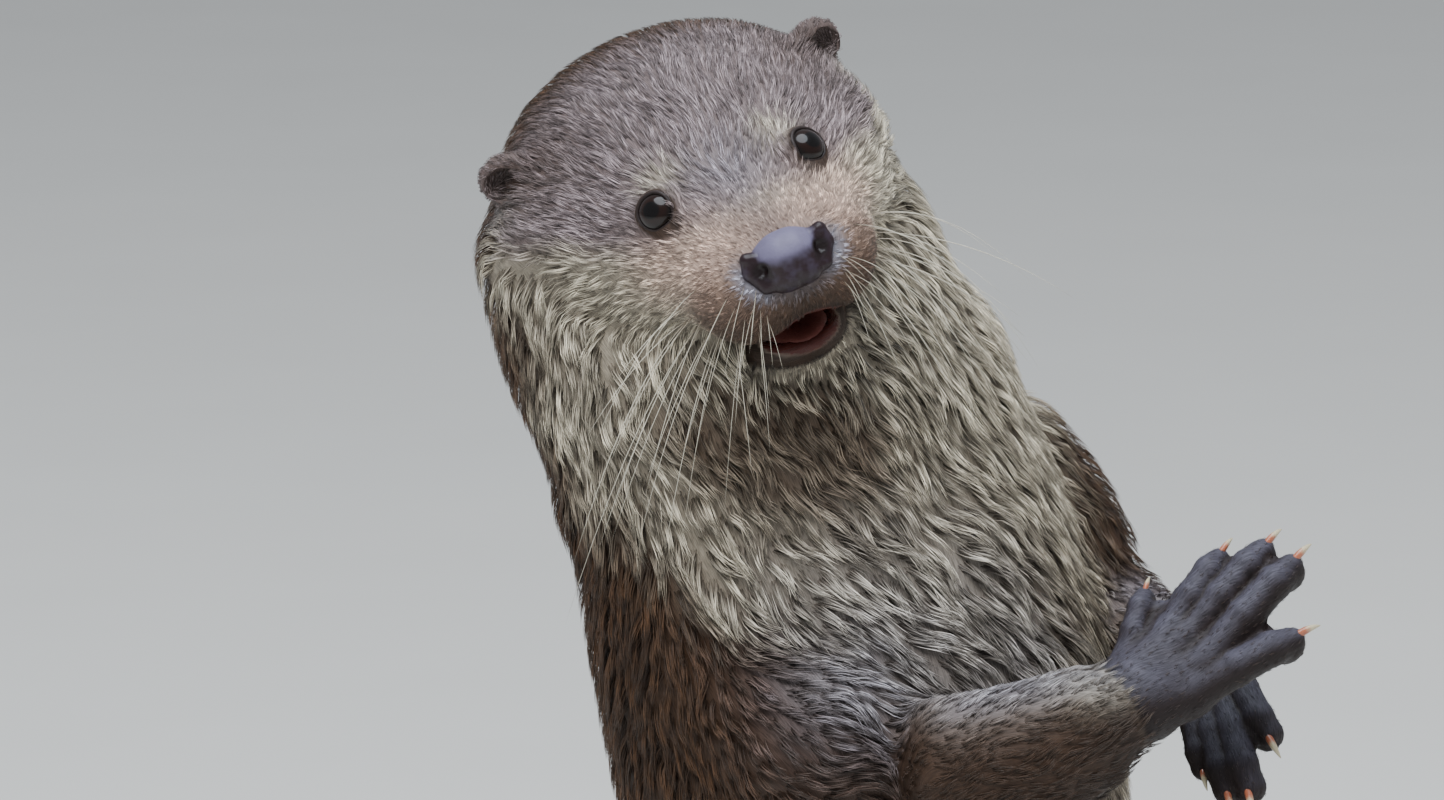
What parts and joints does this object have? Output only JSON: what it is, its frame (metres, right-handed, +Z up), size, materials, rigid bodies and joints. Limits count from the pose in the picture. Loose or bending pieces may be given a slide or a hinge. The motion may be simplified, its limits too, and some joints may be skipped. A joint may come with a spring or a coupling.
{
  "type": "standing otter model",
  "caption": "Life-size model of an otter reared up on its hind feet, tail laid on the floor as a prop, head tilted and mouth a little open, forepaws held out in front.",
  "frame": {"origin": "on the floor, under the middle of the bounding box", "axes": "+Z up; the body faces -Y and the tail lies towards +Y; the animal's own left is +X; the head turns towards its right, -X"},
  "size_m": [0.2198, 0.5928, 0.6541],
  "materials": {
    "coat_brown": "dense damp brown fur",
    "coat_pale": "dense damp cream-grey fur",
    "coat_face": "short grey-brown fur",
    "paw_skin": "very short dark fur over skin",
    "nose_skin": "moist dark skin",
    "eye": "wet, dark and clear",
    "mouth_skin": "wet skin",
    "claw": "pink base, pale clear tip"
  },
  "bodies": {
    "root": {"head": "coat_face", "jaw": "coat_pale", "tongue": "mouth_skin", "nose": "nose_skin", "ear_left": "coat_face", "ear_right": "coat_face", "eye_left": "eye", "eye_right": "eye", "neck": "coat_pale", "chest": "coat_brown", "belly": "coat_brown", "hips": "coat_brown", "tail_1": "coat_brown", "tail_2": "coat_brown", "tail_3": "coat_brown", "tail_4": "coat_brown", "upper_arm_right": "coat_brown", "forearm_right": "coat_brown", "hand_right": "paw_skin", "claw_hand_right_1": "claw", "claw_hand_right_2": "claw", "claw_hand_right_3": "claw", "claw_hand_right_4": "claw", "claw_hand_right_5": "claw", "upper_arm_left": "coat_brown", "forearm_left": "coat_brown", "hand_left": "paw_skin", "claw_hand_left_1": "claw", "claw_hand_left_2": "claw", "claw_hand_left_3": "claw", "claw_hand_left_4": "claw", "claw_hand_left_5": "claw", "thigh_right": "coat_brown", "shank_right": "coat_brown", "foot_right": "paw_skin", "claw_foot_right_1": "claw", "claw_foot_right_2": "claw", "claw_foot_right_3": "claw", "claw_foot_right_4": "claw", "claw_foot_right_5": "claw", "thigh_left": "coat_brown", "shank_left": "coat_brown", "foot_left": "paw_skin", "claw_foot_left_1": "claw", "claw_foot_left_2": "claw", "claw_foot_left_3": "claw", "claw_foot_left_4": "claw", "claw_foot_left_5": "claw"}
  },
  "joints": []
}
